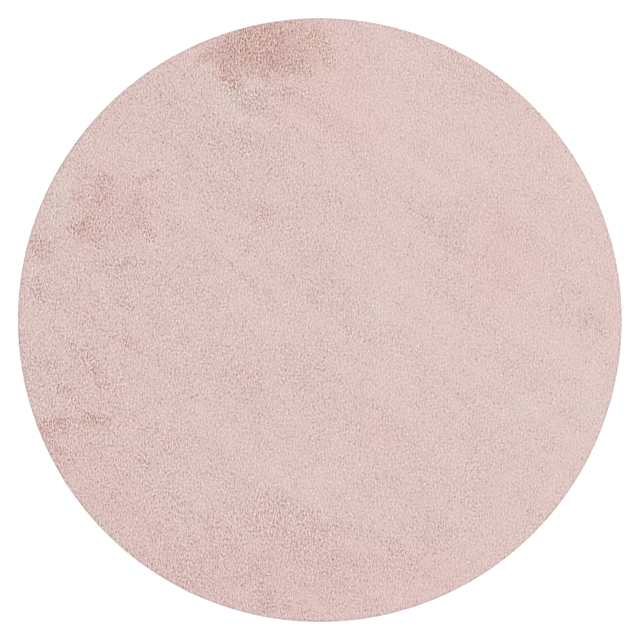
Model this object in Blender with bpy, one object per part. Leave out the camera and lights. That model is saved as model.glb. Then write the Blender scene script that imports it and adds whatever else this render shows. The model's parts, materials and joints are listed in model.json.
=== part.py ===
# Round low pile rug: one flat piece, lying on its ground cloth with the cut pile up.
# Metres, +Z up. The origin is the middle of the underside.

import math

import bmesh
import bpy

DIAMETER = 1.200  # across the tips of the pile
GROUND_CLOTH = 0.002  # woven cloth that the tufts stand in
PILE_HEIGHT = 0.008  # from the ground cloth to the cut tips
PILE_SHOULDER = 0.0050  # how far in the outermost tufts round off at the top
GROUND_TUCK = 0.0012  # how far the cut edge of the ground cloth draws in below
SHOULDER_STEPS = 5
TUCK_STEPS = 2
RIM_SIDES = 192
SHARP_ANGLE = math.radians(40)

BLUSH = (0.716, 0.546, 0.521, 1.0)
PILE_ROUGHNESS = 0.95


def clear_scene():
    for ob in list(bpy.data.objects):
        bpy.data.objects.remove(ob, do_unlink=True)


def pile_material():
    material = bpy.data.materials.new("blush_pile")
    material.use_nodes = True
    shader = material.node_tree.nodes["Principled BSDF"]
    shader.inputs["Base Color"].default_value = BLUSH
    shader.inputs["Roughness"].default_value = PILE_ROUGHNESS
    shader.inputs["Metallic"].default_value = 0.0
    return material


def round_rim(bm, height, width, steps):
    """Rounds the rim that lies at one height, over a width and in a few steps."""
    rim = [e for e in bm.edges if all(abs(v.co.z - height) < 1e-6 for v in e.verts)]
    bmesh.ops.bevel(
        bm,
        geom=rim,
        offset=width,
        segments=steps,
        profile=0.5,
        affect="EDGES",
        clamp_overlap=True,
    )


def make_rug():
    """A disc as thick as its ground cloth and pile, with a soft shoulder round its top."""
    thickness = GROUND_CLOTH + PILE_HEIGHT
    bm = bmesh.new()
    bmesh.ops.create_circle(bm, cap_ends=True, segments=RIM_SIDES, radius=DIAMETER / 2)
    raised = bmesh.ops.extrude_face_region(bm, geom=list(bm.faces))
    top = [g for g in raised["geom"] if isinstance(g, bmesh.types.BMVert)]
    bmesh.ops.translate(bm, vec=(0, 0, thickness), verts=top)
    round_rim(bm, thickness, PILE_SHOULDER, SHOULDER_STEPS)
    round_rim(bm, 0.0, GROUND_TUCK, TUCK_STEPS)
    bmesh.ops.recalc_face_normals(bm, faces=bm.faces)
    mesh = bpy.data.meshes.new("rug")
    bm.to_mesh(mesh)
    bm.free()
    mesh.shade_smooth()
    mesh.set_sharp_from_angle(angle=SHARP_ANGLE)
    mesh.materials.append(pile_material())
    rug = bpy.data.objects.new("rug", mesh)
    bpy.context.collection.objects.link(rug)
    return rug


clear_scene()
make_rug()
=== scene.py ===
import json
import math

import bpy
import numpy as np
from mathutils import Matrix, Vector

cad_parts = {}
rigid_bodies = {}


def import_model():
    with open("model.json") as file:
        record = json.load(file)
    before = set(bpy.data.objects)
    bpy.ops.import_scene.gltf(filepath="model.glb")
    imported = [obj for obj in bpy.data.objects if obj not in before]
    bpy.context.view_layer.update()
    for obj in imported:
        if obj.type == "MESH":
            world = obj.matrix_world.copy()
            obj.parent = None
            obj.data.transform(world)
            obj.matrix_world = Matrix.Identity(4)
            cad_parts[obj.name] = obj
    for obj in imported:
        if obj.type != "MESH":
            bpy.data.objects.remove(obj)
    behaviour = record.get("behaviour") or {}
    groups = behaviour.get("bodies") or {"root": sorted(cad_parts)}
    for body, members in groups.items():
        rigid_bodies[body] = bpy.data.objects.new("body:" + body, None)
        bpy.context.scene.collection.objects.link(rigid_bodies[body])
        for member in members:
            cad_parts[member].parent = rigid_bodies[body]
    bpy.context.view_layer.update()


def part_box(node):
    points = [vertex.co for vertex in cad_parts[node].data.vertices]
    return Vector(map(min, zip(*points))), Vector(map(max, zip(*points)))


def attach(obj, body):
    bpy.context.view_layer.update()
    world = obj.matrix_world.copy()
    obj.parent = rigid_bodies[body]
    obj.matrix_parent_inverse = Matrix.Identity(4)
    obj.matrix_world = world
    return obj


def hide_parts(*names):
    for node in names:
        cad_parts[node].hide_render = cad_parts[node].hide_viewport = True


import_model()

rugLow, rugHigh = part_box("rug")
rugRadius = (rugHigh[0] - rugLow[0]) / 2
pileTop = rugHigh[2]
print("rug:", round(2 * rugRadius, 4), "m across,", round(1000 * pileTop, 2), "mm thick")


def softStep(t):
    # 3t^2 - 2t^3, held between 0 and 1
    t = np.clip(t, 0, 1)
    return t * t * (3 - 2 * t)


def cloud(x, y, size, seed):
    # random heights from -1 to 1 on a square lattice, joined by soft steps along x, then along y
    cells = 256  # after which the lattice repeats
    lattice = np.random.default_rng(seed).uniform(-1, 1, (cells, cells))
    column, row = np.floor(x / size).astype(int), np.floor(y / size).astype(int)
    across, along = softStep(x / size - column), softStep(y / size - row)

    def corner(dx, dy):
        return lattice[(column + dx) % cells, (row + dy) % cells]

    near = corner(0, 0) * (1 - across) + corner(1, 0) * across
    far = corner(0, 1) * (1 - across) + corner(1, 1) * across
    return near * (1 - along) + far * along


def clouds(x, y, size, seed):
    # octaves of cloud, each half the size and half the height of the one before, over the sum of
    # their heights
    octaves = 3
    total = sum(cloud(x, y, size / 2**k, seed + k) / 2**k for k in range(octaves))
    return total / (2 - 2 ** (1 - octaves))


def turned(x, y, degrees):
    # the same places, measured along and across a line at this angle to +X
    c, s = math.cos(math.radians(degrees)), math.sin(math.radians(degrees))
    return x * c + y * s, y * c - x * s


def spot(x, y, along, across, angle, strength):
    # one mark: its middle and its reach each way in metres, its turn in degrees and how strong it is
    return {"x": x, "y": y, "along": along, "across": across, "angle": angle, "strength": strength}


dye = {
    "rose": (  # deeper, warmer marks
        spot(-0.115, 0.556, 0.062, 0.046, 10, 0.80),
        spot(-0.183, 0.530, 0.050, 0.028, 20, 0.62),
        spot(-0.070, 0.513, 0.046, 0.030, 0, 0.60),
        spot(-0.129, 0.510, 0.050, 0.028, -20, 0.62),
        spot(-0.178, 0.486, 0.030, 0.018, -55, 0.62),
        spot(-0.044, 0.572, 0.028, 0.036, 0, 0.25),
        spot(-0.222, 0.524, 0.026, 0.015, 35, 0.50),
        spot(-0.427, 0.280, 0.022, 0.017, 0, 0.28),
        spot(-0.476, 0.244, 0.018, 0.016, 0, 0.42),
        spot(-0.428, 0.246, 0.024, 0.016, -30, 0.40),
        spot(-0.450, 0.212, 0.032, 0.020, 60, 0.40),
        spot(-0.464, 0.170, 0.024, 0.020, 0, 0.40),
        spot(-0.366, 0.238, 0.018, 0.018, 0, 0.26),
        spot(-0.362, 0.204, 0.028, 0.016, 80, 0.26),
        spot(-0.405, 0.195, 0.045, 0.040, 0, 0.18),
        spot(-0.553, 0.144, 0.022, 0.018, 70, 0.40),
        spot(-0.527, -0.208, 0.032, 0.016, 5, 0.66),
        spot(-0.544, -0.228, 0.030, 0.016, -60, 0.46),
        spot(-0.444, -0.197, 0.022, 0.012, 0, 0.75),
        spot(-0.480, -0.204, 0.030, 0.010, 0, 0.22),
        spot(-0.102, -0.566, 0.018, 0.022, 0, 0.50),
    ),
    "peach": (  # yellower, at the side of the largest rose mark
        spot(-0.008, 0.556, 0.034, 0.040, 0, 0.80),
        spot(-0.004, 0.505, 0.030, 0.030, 0, 0.50),
        spot(-0.150, 0.552, 0.032, 0.028, 0, 0.45),
        spot(-0.222, 0.520, 0.022, 0.014, 35, 0.35),
    ),
    "mauve": (  # broad, faint and pinker
        spot(-0.460, -0.310, 0.100, 0.062, -50, 0.60),
        spot(-0.380, -0.400, 0.090, 0.050, -45, 0.45),
        spot(-0.060, -0.525, 0.340, 0.072, 0, 0.62),
        spot(0.030, -0.460, 0.060, 0.030, 20, 0.30),
        spot(0.360, 0.138, 0.080, 0.050, 90, 0.62),
        spot(0.060, 0.425, 0.090, 0.070, -10, 0.52),
        spot(-0.070, 0.425, 0.040, 0.050, 0, 0.40),
        spot(0.070, 0.550, 0.030, 0.050, 0, 0.30),
        spot(-0.415, 0.220, 0.072, 0.056, 0, 0.45),
        spot(-0.490, -0.212, 0.070, 0.030, 0, 0.40),
        spot(-0.560, -0.030, 0.050, 0.026, 90, 0.30),
        spot(0.120, -0.224, 0.034, 0.022, -30, 0.28),
        spot(-0.445, 0.385, 0.030, 0.020, 50, 0.25),
    ),
    "greige": (  # paler, greyer places where the dye washed out
        spot(-0.145, 0.452, 0.050, 0.036, 0, 0.62),
        spot(-0.228, 0.496, 0.034, 0.020, 50, 0.42),
        spot(-0.150, 0.386, 0.080, 0.045, -30, 0.38),
        spot(-0.314, 0.481, 0.032, 0.024, 0, 0.30),
        spot(-0.520, 0.245, 0.095, 0.040, 75, 0.60),
        spot(-0.408, 0.140, 0.030, 0.018, 0, 0.58),
        spot(-0.556, 0.066, 0.050, 0.030, 90, 0.45),
        spot(-0.546, -0.110, 0.085, 0.042, 95, 0.50),
        spot(-0.425, -0.070, 0.026, 0.014, -45, 0.46),
        spot(-0.412, -0.236, 0.022, 0.016, -30, 0.60),
        spot(-0.270, -0.192, 0.022, 0.020, 0, 0.55),
        spot(0.190, 0.465, 0.125, 0.085, 100, 0.42),
        spot(0.104, 0.026, 0.034, 0.028, 0, 0.75),
        spot(0.166, -0.110, 0.022, 0.028, 0, 0.22),
        spot(0.545, 0.250, 0.060, 0.030, 110, 0.48),
        spot(0.540, -0.165, 0.070, 0.036, 80, 0.50),
        spot(0.385, -0.165, 0.045, 0.024, -45, 0.50),
        spot(0.320, -0.430, 0.034, 0.026, 0, 0.30),
        spot(0.380, 0.380, 0.026, 0.022, 0, 0.30),
    ),
    "worn": (  # trodden or brushed open: darker, with livelier tufts, in the same dye
        spot(-0.140, 0.436, 0.050, 0.024, -35, 0.65),
        spot(-0.075, 0.450, 0.040, 0.018, 0, 0.40),
        spot(-0.188, 0.478, 0.024, 0.012, -50, 0.85),
        spot(-0.040, 0.500, 0.016, 0.012, 0, 0.25),
        spot(-0.004, 0.538, 0.034, 0.044, 0, 0.45),
        spot(-0.150, 0.552, 0.034, 0.030, 0, 0.40),
        spot(-0.340, 0.288, 0.028, 0.010, 30, 0.75),
        spot(-0.436, 0.276, 0.024, 0.012, 10, 0.35),
        spot(-0.486, 0.182, 0.018, 0.014, 0, 0.80),
        spot(-0.340, 0.174, 0.020, 0.012, -35, 0.95),
        spot(-0.400, 0.100, 0.042, 0.018, -15, 0.42),
        spot(-0.386, 0.036, 0.024, 0.012, -40, 0.40),
        spot(-0.455, -0.090, 0.082, 0.014, -44, 0.68),
        spot(-0.385, -0.046, 0.030, 0.012, -25, 0.90),
        spot(-0.490, -0.150, 0.036, 0.012, -38, 0.22),
        spot(-0.347, -0.278, 0.020, 0.010, -50, 0.80),
        spot(-0.543, -0.085, 0.016, 0.012, 0, 0.55),
        spot(-0.513, -0.130, 0.014, 0.010, -40, 0.80),
        spot(-0.110, 0.214, 0.024, 0.014, -40, 0.60),
        spot(-0.150, -0.120, 0.060, 0.022, -40, 0.26),
        spot(0.537, -0.004, 0.036, 0.018, -30, 0.42),
        spot(0.000, -0.400, 0.120, 0.020, -20, 0.20),
        spot(0.240, 0.190, 0.070, 0.050, -38, 0.25),
        spot(0.280, 0.040, 0.100, 0.040, -38, 0.20),
        spot(-0.515, -0.285, 0.030, 0.030, -50, 0.40),
        spot(-0.150, 0.360, 0.090, 0.030, 0, 0.20),
        spot(-0.270, -0.500, 0.060, 0.050, -40, 0.28),
        spot(-0.200, -0.440, 0.050, 0.040, 0, 0.24),
        spot(0.210, -0.440, 0.080, 0.040, -10, 0.24),
        spot(-0.070, -0.405, 0.100, 0.050, -20, 0.40),
        spot(-0.040, -0.490, 0.200, 0.040, 0, 0.12),
        spot(-0.556, 0.066, 0.030, 0.020, 90, 0.40),
    ),
    "seeds": {"rose": 11, "peach": 311, "mauve": 211, "greige": 31, "worn": 231},
    "seedStep": 5,  # from one cloud of a spot to its next, more than a cloud has octaves
    "warp": 0.009,  # how far the outline of a spot wanders
    "warpSize": 0.032,
    "ragged": 0.42,  # how deeply its edge frays, as a share of its reach
    "raggedSize": 0.018,
    "spotEnd": 1.5,  # in reaches from the middle of a spot
    "spotFade": 1.1,
    "wornDepth": 0.11,  # a depth or rise times livelyGain is what it changes in the liveliness
    "streakAngle": -38,  # soft brushed streaks, falling to the right
    "streakLength": 0.20,
    "streakWidth": 0.024,
    "streakDepth": 0.025,
    "streakSeed": 51,
    "cloudSize": 0.15,
    "cloudDepth": 0.014,
    "cloudSeed": 71,
    "paintedLightTowards": 15,  # painted light: the side, towards the lamp, where the pile is drawn lightest
    "paintedLightRise": 0.023,
    "livelyGain": 9.4,
    "livelyRange": (0.4, 2.6),
    "roseLively": 1.2,
    "calmSize": 0.030,
    "calmShare": 0.15,
    "calmSeed": 91,
}


def spotted(x, y, name):
    # for each spot of this name: distance from its middle in reaches, measured from places that a
    # cloud has shifted, made ragged by a finer cloud and turned into a soft-edged cover; covers lie
    # over each other as 1 minus the product of what each leaves bare
    seed = dye["seeds"][name]
    shiftedX = x + dye["warp"] * clouds(x, y, dye["warpSize"], seed)
    shiftedY = y + dye["warp"] * clouds(x, y, dye["warpSize"], seed + dye["seedStep"])
    fray = dye["ragged"] * clouds(x, y, dye["raggedSize"], seed + 2 * dye["seedStep"])
    bare = np.ones_like(x)
    for one in dye[name]:
        along, across = turned(shiftedX - one["x"], shiftedY - one["y"], one["angle"])
        away = np.hypot(along / one["along"], across / one["across"])
        bare *= 1 - one["strength"] * softStep((dye["spotEnd"] - away - fray) / dye["spotFade"])
    return 1 - bare


def dyed(x, y):
    # cover of each dye at these places, and how lively the tufts stand there: 1 - livelyGain * slow +
    # roseLively * rose + calmShare * clouds, with slow = streaks + clouds + a painted rise in light
    # towards the lamp's side - worn. The darker a place, the more open and uneven its pile
    cover = {name: spotted(x, y, name) for name in ("rose", "peach", "mauve", "greige")}
    cover["greige"] = cover["greige"] * (1 - cover["rose"])
    along, across = turned(x, y, dye["streakAngle"])
    drawn = along * dye["streakWidth"] / dye["streakLength"]
    # painted light: slow rises towards the lamp's side, which makes that side calmer and lighter
    side = turned(x, y, dye["paintedLightTowards"])[0] / rugRadius
    slow = dye["streakDepth"] * clouds(drawn, across, dye["streakWidth"], dye["streakSeed"])
    slow = slow + dye["cloudDepth"] * clouds(x, y, dye["cloudSize"], dye["cloudSeed"])
    slow = slow + dye["paintedLightRise"] * side - dye["wornDepth"] * spotted(x, y, "worn")
    lively = 1 - dye["livelyGain"] * slow + dye["roseLively"] * cover["rose"]
    lively = lively + dye["calmShare"] * clouds(x, y, dye["calmSize"], dye["calmSeed"])
    return cover, lively.clip(*dye["livelyRange"])


def smoothNormals(points, triangles):
    # at each point the mean of its triangles' normals, each with the angle of its corner there as
    # its weight
    tiny = 1e-12  # so that nothing is divided by zero
    places = points[triangles]
    total = np.zeros_like(points)
    for k in range(3):
        ahead = places[:, (k + 1) % 3] - places[:, k]
        back = places[:, (k + 2) % 3] - places[:, k]
        normal = np.cross(ahead, back)
        size = np.linalg.norm(normal, axis=1)
        weight = np.arctan2(size, (ahead * back).sum(1)) / np.maximum(size, tiny)
        for axis in range(3):
            total[:, axis] += np.bincount(triangles[:, k], normal[:, axis] * weight, len(points))
    return total / np.maximum(np.linalg.norm(total, axis=1, keepdims=True), tiny)


def newPiece(name, points, corners, faceSizes, values=None, uv=None, normals=None):
    # a mesh from whole arrays: its points, the corners of all its faces in a row, how many corners
    # each face has, the attributes of its points, where they lie on its map and their normals
    mesh = bpy.data.meshes.new(name)
    mesh.vertices.add(len(points))
    mesh.vertices.foreach_set("co", points.astype(np.float32).ravel())
    mesh.loops.add(len(corners))
    mesh.loops.foreach_set("vertex_index", corners.astype(np.int32))
    mesh.polygons.add(len(faceSizes))
    starts = np.concatenate([[0], np.cumsum(faceSizes)[:-1]])
    mesh.polygons.foreach_set("loop_start", starts.astype(np.int32))
    for label, numbers in (values or {}).items():
        layer = mesh.attributes.new(label, "FLOAT", "POINT")
        layer.data.foreach_set("value", numbers.astype(np.float32))
    if uv is not None:
        layer = mesh.uv_layers.new(name="OFBake")
        layer.uv.foreach_set("vector", uv[corners].astype(np.float32).ravel())
    mesh.update(calc_edges=True)
    mesh.validate()
    mesh.shade_smooth()
    if normals is not None:
        mesh.normals_split_custom_set_from_vertices(normals)
    piece = bpy.data.objects.new(name, mesh)
    bpy.context.collection.objects.link(piece)
    return piece


def turnedProfile(radii, heights, sides):
    # a profile turned about the middle: point = (r cos a, r sin a, z). Gives x, y and z, a row for
    # each ring, and for each point but the last ring's its number and that of the one beside it
    angle = np.arange(sides) * 2 * math.pi / sides
    x, y = np.outer(radii, np.cos(angle)), np.outer(radii, np.sin(angle))
    z = np.repeat(heights[:, None], sides, 1)
    ring, k = np.meshgrid(np.arange(len(radii) - 1), np.arange(sides), indexing="ij")
    return x, y, z, ring * sides + k, ring * sides + (k + 1) % sides


body = {
    "sides": 256,
    "rootLevel": 0.0050,  # the top of the close-packed lower pile, under the tufts
    "clothThickness": 0.002,
    "clothInset": 0.0016,  # the cut edge of the ground cloth lies this far inside the pile
    "clothRound": 0.0004,
    "sideInset": 0.0022,
    "lidRound": 0.0022,
    "roundSteps": 4,
    "topRings": 6,
    "underRings": 16,
    "waves": 0.0002,
    "waveSize": 0.02,
    "waveSeed": 7,
}


def rugBody():
    # its profile runs from the middle of the underside out to the cut edge of the ground cloth, up
    # beside the lower pile and back to the middle; clouds raise and lower what is above the cloth
    edge, side = rugRadius - body["clothInset"], rugRadius - body["sideInset"]
    cloth, top = body["clothThickness"], body["rootLevel"]
    small, large = body["clothRound"], body["lidRound"]
    bend = np.linspace(0, math.pi / 2, body["roundSteps"] + 1)
    profileR = np.concatenate([
        np.linspace(0, 1, body["underRings"] + 1)[1:-1] * (edge - small),
        edge - small + small * np.sin(bend),
        [edge, side],
        side - large + large * np.cos(bend),
        np.linspace(1, 0, body["topRings"] + 1)[1:-1] * (side - large),
    ])
    profileZ = np.concatenate([
        np.zeros(body["underRings"] - 1),
        small - small * np.cos(bend),
        [cloth, cloth],
        top - large + large * np.sin(bend),
        np.full(body["topRings"] - 1, top),
    ])
    rings, sides = len(profileR), body["sides"]
    x, y, z, here, beside = turnedProfile(profileR, profileZ, sides)
    z = z + (z > cloth) * body["waves"] * clouds(x, y, body["waveSize"], body["waveSeed"])
    points = np.concatenate([np.stack([x, y, z], -1).reshape(-1, 3), [[0, 0, 0], [0, 0, top]]])
    quads = np.stack([here, beside, beside + sides, here + sides], -1).ravel()
    k = np.arange(sides)
    bottom = np.stack([(k + 1) % sides, k, np.full(sides, rings * sides)], -1)
    last = (rings - 1) * sides
    lid = np.stack([last + k, last + (k + 1) % sides, np.full(sides, rings * sides + 1)], -1)
    sizes = np.concatenate([np.full((rings - 1) * sides, 4), np.full(2 * sides, 3)])
    corners = np.concatenate([quads, bottom.ravel(), lid.ravel()])
    values = dyed(points[:, 0], points[:, 1])[0]
    values["height"] = values["edge"] = np.zeros(len(points))  # it is all deep down in the pile, so it takes the full painted shade
    values["shade"] = np.ones(len(points))
    return newPiece("rugBody", points, corners, sizes, values)


pile = {
    "seed": 2001,
    "pitch": 0.00166,  # of a lattice of triangles; every third point is the tip of a tuft
    "scatter": 0.24,  # share of the pitch that a point strays
    "columns": 3,  # the pile is made in this many columns of two pieces each
    "shoulder": 0.0030,  # radius of the turn from the face of the pile to its cut side
    "sideIn": 0.0004,  # how far inside the rim the cut side stands, on average
    "hem": 0.0008,  # the lowest fibres end this far above the floor
    "hemFade": 0.001,  # the way over which the relief dies out towards the hem
    "tipRise": 0.00042,  # a tip stands this far out, and the points between tips stand gapDrop in
    "gapDrop": 0.00038,
    "uneven": 0.00038,
    "farthest": 2.2,  # no random number is more than this many deviations out
    "napShare": 0.41,  # what a random number takes in of each neighbour along Y, the way of the nap
    "levelReach": 2,  # points each way over which the pile is sheared level
    "tallest": 0.0013,  # no tip stands farther than this out of the mean face of the pile
    "lean": 0.0003,  # how far the nap lays a tip over towards -Y
    "bunchX": 0.0054,  # tufts cling together in bunches about this wide and long
    "bunchY": 0.0094,
    "bunchScatter": (0.28, 0.50),  # how far a bunch strays each way, in bunches
    "bunchSeed": 2003,
    "bunchPull": 0.12,  # share of the way to the middle of its bunch that a tip is drawn
    "bunchRise": 0.00011,
    "creaseWidth": 0.30,
    "creaseDrop": 0.00026,
    "liveliest": 1.2,  # beyond this the livelier places only deepen in painted shade, not in shape
    "sideCalm": 0.4,  # how much of its relief the face loses on its way down the cut side
    "sideTuft": 0.0030,  # from one standing yarn of the cut side to the next
    "sideSeed": 2005,
    "sideRise": 0.00022,
    "sideShade": 0.05,
    "edgeIn": 0.003,  # the cut edge begins to show this far inside the shoulder
    "edgeWidth": 0.004,
    "pitShare": 0.008,  # share of the points that lie open, times the square of the liveliness
    "pitDrop": 0.0016,
    "extraShadeFrom": 0.0009,  # gaps deeper than this take still more painted shade, by the gain below
    "extraShadeGain": 1.6,
    "shadeRange": 0.0042,  # from the tips to where the painted shade is deepest
    "tuftDepth": 0.139,  # how far the yarn of one tuft differs from the next
}


def bunched(x, y):
    # distance to the nearest and the next nearest of the strayed points of a lattice, each in units
    # of its pitch, and the way to the nearest in metres
    cells = 512  # after which the straying repeats
    rng = np.random.default_rng(pile["bunchSeed"])
    stray = rng.uniform(-1, 1, (cells, cells, 2)) * pile["bunchScatter"]
    u, v = x / pile["bunchX"], y / pile["bunchY"]
    column, row = np.round(u).astype(int), np.round(v).astype(int)
    first = second = np.full(x.shape, np.inf)
    wayX, wayY = np.zeros_like(x), np.zeros_like(y)
    for dx in (-1, 0, 1):
        for dy in (-1, 0, 1):
            off = stray[(column + dx) % cells, (row + dy) % cells]
            du, dv = column + dx + off[..., 0] - u, row + dy + off[..., 1] - v
            far = np.hypot(du, dv)
            closer = far < first
            second = np.where(closer, first, np.minimum(second, far))
            first = np.where(closer, far, first)
            wayX = np.where(closer, du * pile["bunchX"], wayX)
            wayY = np.where(closer, dv * pile["bunchY"], wayY)
    return first, second, wayX, wayY


def around(numbers, reach):
    # mean over a square of 2 reach + 1 places a side, from running sums along each way of the lattice
    side = 2 * reach + 1
    for axis in (0, 1):
        margin = [(reach + 1, reach) if k == axis else (0, 0) for k in (0, 1)]
        total = np.cumsum(np.pad(numbers, margin, "edge"), axis)
        last = np.take(total, np.arange(side, total.shape[axis]), axis)
        numbers = (last - np.take(total, np.arange(total.shape[axis] - side), axis)) / side
    return numbers


def uneven(rng, shape):
    # random numbers about 0, each with napShare of its two neighbours along Y and less the mean of its
    # surroundings, so that tufts differ and wide patches don't
    numbers = rng.normal(0, 1, shape).clip(-pile["farthest"], pile["farthest"])
    numbers = numbers + pile["napShare"] * (np.roll(numbers, 1, 1) + np.roll(numbers, -1, 1))
    return numbers - around(numbers, pile["levelReach"])


def sideTufts(angle):
    # one random number for each yarn round the rim, joined by straight lines, so that it is the same
    # all the way down the cut side
    count = round(2 * math.pi * rugRadius / pile["sideTuft"])
    numbers = np.random.default_rng(pile["sideSeed"]).normal(0, 1, count)
    numbers = numbers.clip(-pile["farthest"], pile["farthest"])
    places = np.arange(count + 1) * (2 * math.pi / count)
    return np.interp(angle % (2 * math.pi), places, np.append(numbers, numbers[0]))


def pileLattice(reach):
    # points of a lattice of triangles: column i at i * pitch * sqrt(3) / 2, row j at j * pitch, every
    # other column half a pitch up; a point is a tip where j - i // 2 - i divides by three. Gives the
    # places, which of them are tips, and the triangles
    pitch = pile["pitch"]
    spare = 2  # columns and rows beyond the reach
    wide, tall = int(reach / (pitch * math.sqrt(3) / 2)) + spare, int(reach / pitch) + spare
    i, j = np.meshgrid(np.arange(-wide, wide + 1), np.arange(-tall, tall + 1), indexing="ij")
    x, y = i * pitch * math.sqrt(3) / 2, (j + (i % 2) / 2) * pitch
    isTip = (j - i // 2 - i) % 3 == 0
    rows = x.shape[1]
    here = np.arange(x.shape[0] - 1)[:, None] * rows + np.arange(rows - 1)
    up, right, over = here + 1, here + rows, here + rows + 1
    odd = (i[:-1, :-1] % 2 == 1)[..., None]
    one = np.where(odd, np.stack([here, over, up], -1), np.stack([here, right, up], -1))
    two = np.where(odd, np.stack([here, right, over], -1), np.stack([up, right, over], -1))
    return x, y, isTip, np.concatenate([one.reshape(-1, 3), two.reshape(-1, 3)])


def pileBlanket():
    # one blanket of tufts: flat over the rug, a quarter turn round the shoulder and straight down the
    # cut side. A point stands out of it by lively * (bunch + uneven * a random number, + tipRise or
    # - gapDrop) - pit, and on the cut side also by sideRise * its yarn's random number. Here bunch is
    # bunchRise * (1 - (2 d)^2) - creaseDrop * crease, less its mean round about, and d is the
    # distance from the middle of the bunch. Gives the points, the triangles, the attributes and where
    # each point lies when the blanket is spread flat
    rng = np.random.default_rng(pile["seed"])
    pitch, shoulder = pile["pitch"], pile["shoulder"]
    face = pileTop - pile["tallest"]
    flat = rugRadius - pile["sideIn"] - shoulder
    turn = shoulder * math.pi / 2
    reach = flat + turn + face - shoulder - pile["hem"]
    x, y, isTip, triangles = pileLattice(reach)
    x = x + pile["scatter"] * pitch * rng.uniform(-1, 1, x.shape)
    y = y + pile["scatter"] * pitch * rng.uniform(-1, 1, x.shape)
    away = np.hypot(x, y)
    # the edge mask marks the cut side: it sets its upright fibres and its painted shade
    edge = softStep((away - flat + pile["edgeIn"]) / pile["edgeWidth"])
    first, second, wayX, wayY = bunched(x, y)
    values, lively = dyed(x, y)
    crease = 1 - softStep((second - first) / pile["creaseWidth"])
    out = pile["bunchRise"] * (1 - (2 * first) ** 2) - pile["creaseDrop"] * crease
    out = out - around(out, pile["levelReach"]) + pile["uneven"] * uneven(rng, x.shape)
    out = out + np.where(isTip, pile["tipRise"], -pile["gapDrop"])
    pit = (rng.random(x.shape) < pile["pitShare"] * lively**2) * pile["pitDrop"] * (1 - edge)
    side = edge * sideTufts(np.arctan2(y, x))
    # the painted shade follows the full liveliness, the shape only up to a limit: height = 1 - (tallest
    # - how far it stands out) / the shade range, which says how much painted shade of the gaps a point
    # takes, and shade = 1 + lively * tuftDepth * a random number + sideShade * its yarn's
    shadedOut = lively * out - pit + pile["sideRise"] * side
    # painted shade: the deepest gaps are drawn deeper still
    shadedOut = shadedOut - pile["extraShadeGain"] * (-shadedOut - pile["extraShadeFrom"]).clip(0, None)
    values["shade"] = 1 + lively * pile["tuftDepth"] * uneven(rng, x.shape) + pile["sideShade"] * side
    values["height"] = (1 - (pile["tallest"] - shadedOut) / pile["shadeRange"]).clip(0, 1)
    values["edge"] = edge
    lively = lively.clip(None, pile["liveliest"])
    out = (lively * out - pit).clip(None, pile["tallest"])
    # points beyond the hem are drawn in to it; the rest lie along the profile by their distance from
    # the middle
    outX, outY = x / away, y / away
    triangles = triangles[(away < reach).ravel()[triangles].any(1)]
    away = np.minimum(away, reach)
    bend = np.clip((away - flat) / turn, 0, 1) * math.pi / 2
    out = out * (1 - pile["sideCalm"] * np.sin(bend)) + pile["sideRise"] * side * np.sin(bend)
    out = out * softStep((reach - away) / pile["hemFade"])
    radius = np.minimum(away, flat) + (shoulder + out) * np.sin(bend)
    level = face - shoulder * (1 - np.cos(bend)) - np.clip(away - flat - turn, 0, None)
    upward = lively * np.cos(bend) ** 2
    pointX = outX * radius + upward * pile["bunchPull"] * wayX
    pointY = outY * radius + upward * pile["bunchPull"] * wayY
    pointY = pointY - upward * pile["lean"] * out / pile["tallest"]
    points = np.stack([pointX, pointY, level + out * np.cos(bend)], -1).reshape(-1, 3)
    spread = np.stack([outX * away, outY * away], -1).reshape(-1, 2)
    return points, triangles, values, spread


def pileParts():
    # the blanket cut into nearly square parts, with the normals of the whole, so that no seam shows,
    # and each with a map of its own, which is how it lies when spread flat
    points, triangles, values, spread = pileBlanket()
    normals = smoothNormals(points, triangles)
    middle = spread[triangles].mean(1)
    cuts = np.quantile(middle[:, 0], np.linspace(0, 1, pile["columns"] + 1)[1:-1])
    part = 2 * np.searchsorted(cuts, middle[:, 0]) + (middle[:, 1] > 0)
    pieces = []
    for k in range(2 * pile["columns"]):
        own, corners = np.unique(triangles[part == k], return_inverse=True)
        corners = corners.ravel()
        ownValues = {label: numbers.ravel()[own] for label, numbers in values.items()}
        low, high = spread[own].min(0) - pile["pitch"], spread[own].max(0) + pile["pitch"]
        uv = (spread[own] - low) / (high - low)
        sizes = np.full(len(corners) // 3, 3)
        piece = newPiece(f"pile{k + 1}", points[own], corners, sizes, ownValues, uv, normals[own])
        pieces.append(piece)
    return pieces


class Value:
    # a socket to reckon with: an expression on it adds Math nodes
    def __init__(self, finish, socket):
        self.finish, self.socket = finish, socket

    def math(self, operation, *terms):
        return self.finish.node("ShaderNodeMath", {"operation": operation}, dict(enumerate(terms)))

    def __add__(self, other):
        return self.math("ADD", self, other)

    def __radd__(self, other):
        return self.math("ADD", other, self)

    def __sub__(self, other):
        return self.math("SUBTRACT", self, other)

    def __rsub__(self, other):
        return self.math("SUBTRACT", other, self)

    def __mul__(self, other):
        return self.math("MULTIPLY", self, other)

    def __rmul__(self, other):
        return self.math("MULTIPLY", other, self)

    def sine(self):
        return self.math("SINE", self)


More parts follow.
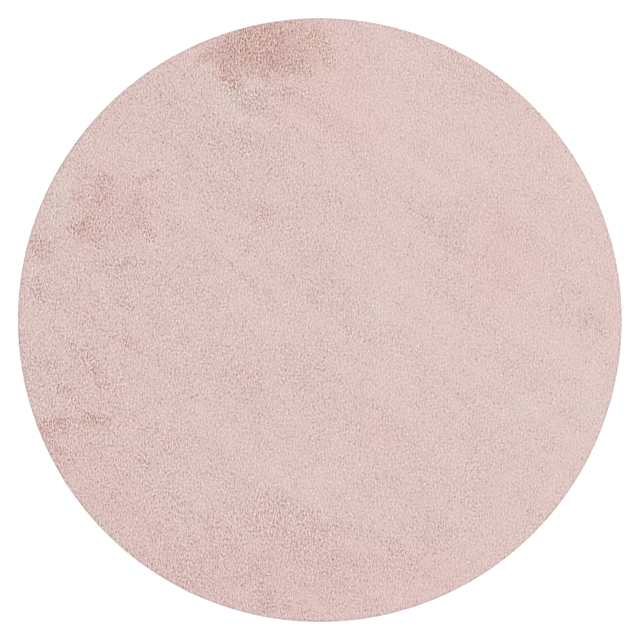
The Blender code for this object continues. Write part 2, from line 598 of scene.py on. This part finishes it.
class Finish:
    # one material and its Principled shader, with the numbers that are the same all over
    def __init__(self, name, **fixed):
        self.material = bpy.data.materials.new(name)
        self.material.use_nodes = True
        self.tree = self.material.node_tree
        self.shader = self.tree.nodes["Principled BSDF"]
        for label, number in fixed.items():
            self.shader.inputs[label.replace("_", " ")].default_value = number

    def node(self, kind, settings=None, inputs=None, output=0):
        # any node: its settings first, then the values or links of its sockets, by name or place
        made = self.tree.nodes.new(kind)
        for label, setting in (settings or {}).items():
            setattr(made, label, setting)
        for label, given in (inputs or {}).items():
            if isinstance(given, Value):
                self.tree.links.new(given.socket, made.inputs[label])
            else:
                made.inputs[label].default_value = given
        return Value(self, made.outputs[output])

    def attribute(self, name):
        return self.node("ShaderNodeAttribute", {"attribute_name": name}, output="Fac")

    def place(self):
        # where a point lies on the rug, in metres
        return self.node("ShaderNodeTexCoord", output="Object")

    def stretched(self, vector, scale, turn=0.0):
        # a place turned about Z by so many degrees and scaled each way
        inputs = {"Vector": vector, "Rotation": (0, 0, math.radians(turn)), "Scale": scale}
        return self.node("ShaderNodeMapping", inputs=inputs)

    def noise(self, vector, scale, detail=2.0, output="Fac"):
        inputs = {"Vector": vector, "Scale": scale, "Detail": detail}
        return self.node("ShaderNodeTexNoise", inputs=inputs, output=output)

    def vector(self, operation, first, second):
        return self.node("ShaderNodeVectorMath", {"operation": operation}, {0: first, 1: second})

    def scaled(self, colour, factor):
        return self.node("ShaderNodeVectorMath", {"operation": "SCALE"}, {0: colour, "Scale": factor})

    def mixed(self, factor, first, second):
        # first + factor * (second - first); sockets 6 and 7 and output 2 are the colours
        inputs = {"Factor": factor, 6: first, 7: second}
        return self.node("ShaderNodeMix", {"data_type": "RGBA"}, inputs, 2)

    def bump(self, height, distance):
        return self.node("ShaderNodeBump", inputs={"Height": height, "Distance": distance})

    def feeds(self, **links):
        # what changes over the surface goes to the shader
        for label, value in links.items():
            self.tree.links.new(value.socket, self.shader.inputs[label.replace("_", " ")])


yarn = {
    "blush": (0.683, 0.537, 0.519, 1.0),
    "rose": (0.630, 0.425, 0.392, 1.0),
    "peach": (0.675, 0.498, 0.450, 1.0),
    "mauve": (0.675, 0.503, 0.494, 1.0),
    "greige": (0.658, 0.565, 0.524, 1.0),
    "edge": (0.450, 0.380, 0.368, 1.0),  # the sides of the yarn where the pile is cut off, darker and greyer with painted shade of the cut side
    "edgeShadeShare": 0.42,
    "paintedShade": (0.360, 0.205, 0.180, 1.0),  # painted shade, down between the tufts
    "paintedShadeShare": 1.30,  # how far the yarn goes towards the painted shade at the root
    "paler": (0.86, 1.03, 1.08),  # a light tuft is paler too: it gains less red than green and blue
    "roughness": 0.92,
    "roughnessDrift": 0.1,
    "sheen": 0.06,
    "sheenRoughness": 0.45,
    "sheenTint": (1.0, 0.80, 0.77, 1.0),
    "specular": 0.15,
    "curlScale": 160,  # swirls about 6 mm across
    "curl": 0.004,
    "fibreScales": (1700, 1150),  # per metre
    "fibreAngles": (-12, 38),
    "fibreShares": (0.6, 0.4),
    "fibreDraw": (1.0, 0.22, 0.6),  # the smaller, the longer they are drawn that way
    "sideDraw": (1.0, 1.0, 0.12),  # down the cut side they stand upright
    "fibreDepth": 0.30,
    "fibreBump": 0.0005,
}


def fibres(made, edge):
    # fibres that swirl: the place is shifted by curl * (a coarse noise - 1/2) and read by two fine
    # noises, drawn out in length and laid across each other, with a share of each; then the result
    # goes towards upright fibres by edge
    swirl = made.noise(made.place(), yarn["curlScale"], detail=1.0, output="Color")
    swirl = made.vector("SUBTRACT", swirl, (0.5, 0.5, 0.5))
    place = made.vector("ADD", made.place(), made.scaled(swirl, yarn["curl"]))
    first, second = [made.noise(made.stretched(place, yarn["fibreDraw"], turn), scale)
                     for turn, scale in zip(yarn["fibreAngles"], yarn["fibreScales"])]
    lying = yarn["fibreShares"][0] * first + yarn["fibreShares"][1] * second
    upright = made.noise(made.stretched(place, yarn["sideDraw"]), yarn["fibreScales"][1])
    return lying + edge * (upright - lying)


def pileFinish(name):
    # colour = blush, towards rose, peach, mauve and greige by the dyes, towards the darker edge colour
    # (the yarn's cut sides with painted shade of the cut side) by its share times edge, and towards the
    # painted shade colour of the gaps by its share times (1 - height)^2, all times 1 + paler * (shade -
    # 1) for its tuft and 1 + fibreDepth * (fibres - 1/2)
    made = Finish(name, Sheen_Weight=yarn["sheen"], Sheen_Roughness=yarn["sheenRoughness"],
                  Sheen_Tint=yarn["sheenTint"], Specular_IOR_Level=yarn["specular"])
    edge = made.attribute("edge")
    strands = fibres(made, edge)
    tone = yarn["blush"]
    for dyeName in ("rose", "peach", "mauve", "greige"):
        tone = made.mixed(made.attribute(dyeName), tone, yarn[dyeName])
    # painted shade: the cut side of the pile, with the yarn's sides showing, is drawn darker and greyer
    # by the edge mask
    tone = made.mixed(yarn["edgeShadeShare"] * edge, tone, yarn["edge"])
    # painted shade: the lower a point lies among the tufts, the darker it is drawn
    depth = 1 - made.attribute("height")
    tone = made.mixed(yarn["paintedShadeShare"] * depth * depth, tone, yarn["paintedShade"])
    gain = made.vector("ADD", made.scaled(yarn["paler"], made.attribute("shade") - 1), (1.0, 1.0, 1.0))
    tone = made.vector("MULTIPLY", tone, gain)
    made.feeds(Base_Color=made.scaled(tone, 1 + yarn["fibreDepth"] * (strands - 0.5)),
               Roughness=yarn["roughness"] - yarn["roughnessDrift"] * (strands - 0.5),
               Normal=made.bump(strands, yarn["fibreBump"]))
    return made.material


weave = {
    "pitch": 0.0045,  # one warp to the next
    "depth": 0.0004,
    # the colour of the threads on top, and that of the sunk places with painted shade
    "light": (0.560, 0.500, 0.440, 1.0),
    "dark": (0.400, 0.350, 0.300, 1.0),
    "slub": 0.35,
    "slubScale": 600,
    "slubDraw": (1.0, 0.25, 1.0),
    "roughness": 0.9,
    "specular": 0.2,
}


def clothFinish():
    # plain weave: height = 1/2 + 1/2 sin(pi x / pitch) sin(pi y / pitch) + slub * (noise - 1/2), a
    # checker of threads that pass over and under each other; the colour goes from dark to light with
    # that height, which is painted shade where the threads sink and the yarn's own tone along its slubs
    made = Finish("groundCloth", Roughness=weave["roughness"], Specular_IOR_Level=weave["specular"])
    x, y = [made.node("ShaderNodeSeparateXYZ", inputs={"Vector": made.place()}, output=axis)
            for axis in "XY"]
    turns = math.pi / weave["pitch"]
    slubs = made.noise(made.stretched(made.place(), weave["slubDraw"]), weave["slubScale"])
    height = 0.5 + 0.5 * (x * turns).sine() * (y * turns).sine() + weave["slub"] * (slubs - 0.5)
    # painted shade: the sunk places of the weave are drawn darker
    colour = made.mixed(height, weave["dark"], weave["light"])
    made.feeds(Base_Color=colour, Normal=made.bump(height, weave["depth"]))
    return made.material


studio = {
    "lens": 85,
    "sensor": 36,
    "fills": 0.94375,  # share of the view's half width that the rug's radius takes
    "floorMiddle": 1.0,
    "floorRadius": 5.0,
    "bend": 8.0,  # radius of the sweep from the floor up to the backdrop's slope in degrees
    "slope": 27,
    "farRadius": 18.0,
    "sides": 96,
    "bendSteps": 12,
    "floorDrop": 0.0003,
    "floorColour": (0.86, 0.86, 0.86, 1.0),
    "floorGlow": 0.20,  # the floor is lit from behind a little, as a light table is
    "floorRoughness": 0.8,
    "floorSpecular": 0.1,
    "skyColour": (1.0, 1.0, 1.0, 1.0),
    "skyStrength": 0.70,
    "sunStrength": 1.70,
    "sunSpread": 70,  # degrees across, as from a wide softbox
    "sunHeight": 72,
    "sunSide": 20,  # the side it comes from, from +X towards +Y
}


def makeStudio():
    # camera straight above: distance = radius / fills / tan(half the view's angle)
    half = studio["sensor"] / 2 / studio["lens"]  # that tangent
    lens = bpy.data.cameras.new("camera")
    lens.lens, lens.sensor_width = studio["lens"], studio["sensor"]
    camera = bpy.data.objects.new("camera", lens)
    camera.location = (0, 0, pileTop / 2 + rugRadius / studio["fills"] / half)
    bpy.context.collection.objects.link(camera)
    bpy.context.scene.camera = camera
    bpy.context.scene.view_settings.view_transform = "Standard"

    world = bpy.data.worlds.new("studio")
    world.use_nodes = True
    sky = world.node_tree.nodes["Background"].inputs
    sky["Color"].default_value = studio["skyColour"]
    sky["Strength"].default_value = studio["skyStrength"]
    bpy.context.scene.world = world

    light = bpy.data.lights.new("softLight", "SUN")
    light.energy, light.angle = studio["sunStrength"], math.radians(studio["sunSpread"])
    lamp = bpy.data.objects.new("softLight", light)
    lamp.rotation_euler = (0, math.radians(90 - studio["sunHeight"]), math.radians(studio["sunSide"]))
    bpy.context.collection.objects.link(lamp)

    # floor and backdrop in one: a flat disc that sweeps up all round, z = bend * (1 - cos a) at a
    # radius of floorRadius + bend * sin a, and then runs on at the slope it has reached
    slope = math.radians(studio["slope"])
    turn = np.linspace(0, slope, studio["bendSteps"] + 1)
    r = np.concatenate([[studio["floorMiddle"]], studio["floorRadius"] + studio["bend"] * np.sin(turn)])
    z = np.concatenate([[0.0], studio["bend"] * (1 - np.cos(turn))])
    z = np.append(z, z[-1] + (studio["farRadius"] - r[-1]) * math.tan(slope)) - studio["floorDrop"]
    r = np.append(r, studio["farRadius"])
    sides = studio["sides"]
    x, y, z, here, beside = turnedProfile(r, z, sides)
    points = np.stack([x, y, z], -1).reshape(-1, 3)
    quads = np.stack([here, here + sides, beside + sides, beside], -1).ravel()
    corners = np.concatenate([quads, np.arange(sides)])
    sizes = np.concatenate([np.full((len(r) - 1) * sides, 4), [sides]])
    floor = newPiece("floor", points, corners, sizes)
    paint = Finish("palePaint", Base_Color=studio["floorColour"], Emission_Color=studio["floorColour"],
                   Emission_Strength=studio["floorGlow"], Roughness=studio["floorRoughness"],
                   Specular_IOR_Level=studio["floorSpecular"])
    floor.data.materials.append(paint.material)


makeStudio()
print("studio ready")
rug = rugBody()
rug.data.materials.append(pileFinish("lowerPile"))
rug.data.materials.append(clothFinish())
middles = np.empty(3 * len(rug.data.polygons), dtype=np.float32)
rug.data.polygons.foreach_get("center", middles)
isCloth = middles[2::3] < body["clothThickness"]
rug.data.polygons.foreach_set("material_index", isCloth.astype(np.int32))
print("body:", len(rug.data.polygons), "faces")
tufts = pileParts()
yarnFinish = pileFinish("cutPile")
for piece in tufts:
    piece.data.materials.append(yarnFinish)
    print(piece.name, len(piece.data.polygons), "faces")
for piece in [rug, *tufts]:
    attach(piece, "root")
    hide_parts("rug")
